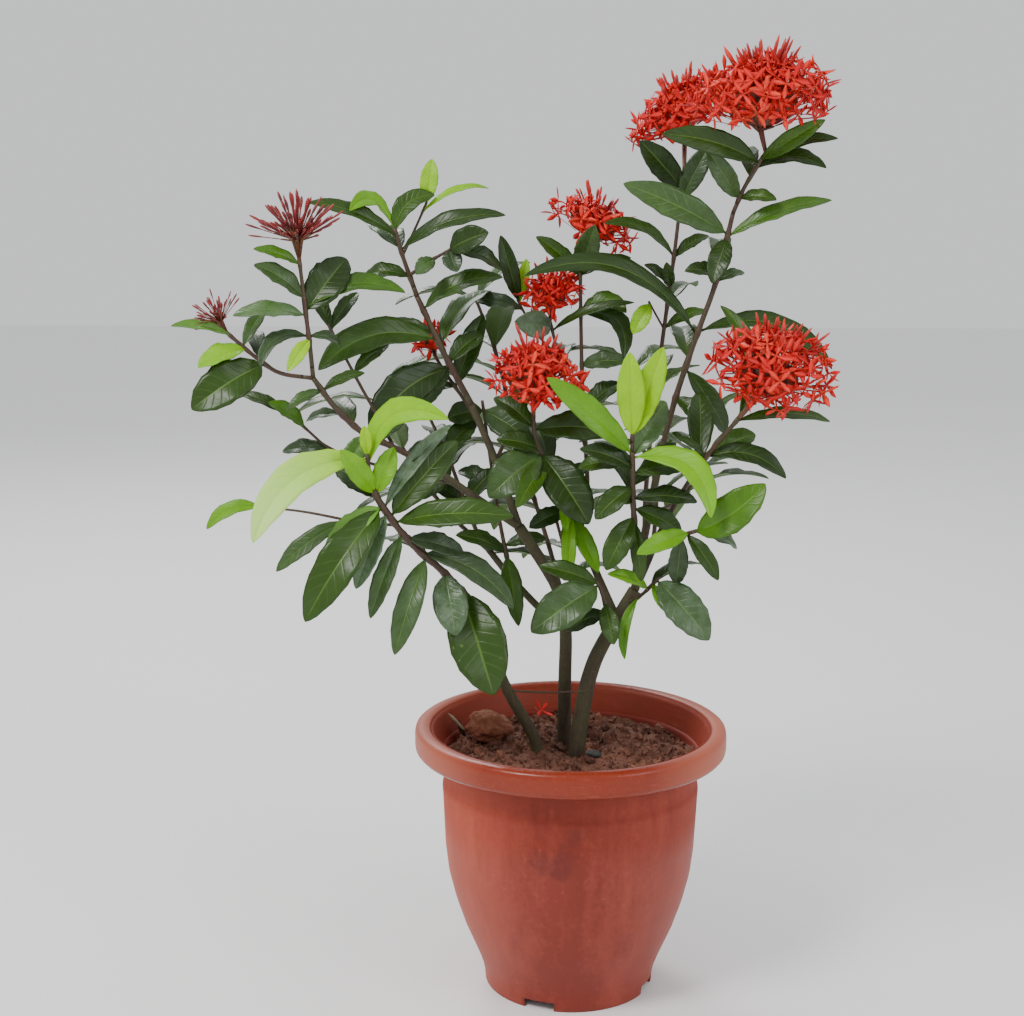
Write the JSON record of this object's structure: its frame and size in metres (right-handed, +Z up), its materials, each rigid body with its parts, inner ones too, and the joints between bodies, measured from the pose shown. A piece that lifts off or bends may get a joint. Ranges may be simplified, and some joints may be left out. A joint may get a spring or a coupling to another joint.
{
  "type": "potted flowering plant",
  "caption": "Potted flowering shrub: red flower domes over glossy opposite leaves on woody stems, in a round red-brown plastic nursery pot filled with soil.",
  "frame": {"origin": "under the middle of the whole plant's box, on the floor that the pot stands on", "axes": "+Z up along the pot's axis, -Y towards the side that the picture shows, +X to that view's right"},
  "size_m": [0.4956, 0.3024, 0.7552],
  "materials": {
    "pot": "satin, dusty red-brown plastic with a glossier rolled rim",
    "soil": "crumbled, damp red-brown earth",
    "clod": "rough orange-brown clod",
    "bark": "rough dark bark",
    "leaf": "glossy dark green leaf with paler veins",
    "young_leaf": "soft yellow-green new leaf",
    "petal": "matt red petals",
    "bud": "matt dark red buds"
  },
  "bodies": {
    "root": {"buds_low": "bud", "buds_tall": "bud", "clod": "clod", "head_back": "petal", "head_centre": "petal", "head_centre_back": "petal", "head_hidden": "petal", "head_right": "petal", "head_second": "petal", "head_top": "petal", "pot": "pot", "shoot_back_far_right": "leaf", "shoot_back_head": "leaf", "shoot_back_left": "leaf", "shoot_back_low": "leaf", "shoot_back_middle": "leaf", "shoot_back_right": "leaf", "shoot_back_rising": "leaf", "shoot_bud_low": "leaf", "shoot_bud_tall": "leaf", "shoot_centre_back_head": "leaf", "shoot_centre_head": "leaf", "shoot_far_left": "leaf", "shoot_front_left": "leaf", "shoot_front_left_side": "leaf", "shoot_front_left_young": "young_leaf", "shoot_front_right": "leaf", "shoot_front_right_young": "young_leaf", "shoot_hidden_head": "leaf", "shoot_low_middle": "leaf", "shoot_low_right": "leaf", "shoot_middle_left": "leaf", "shoot_middle_left_inner": "leaf", "shoot_right_head": "leaf", "shoot_right_low": "leaf", "shoot_rising": "leaf", "shoot_rising_top": "leaf", "shoot_second_head": "leaf", "shoot_thin_lower": "leaf", "shoot_thin_upper": "leaf", "shoot_top": "leaf", "shoot_top_head": "leaf", "soil": "soil", "trunk_left": "bark", "trunk_low": "bark", "trunk_right": "bark"}
  },
  "joints": []
}
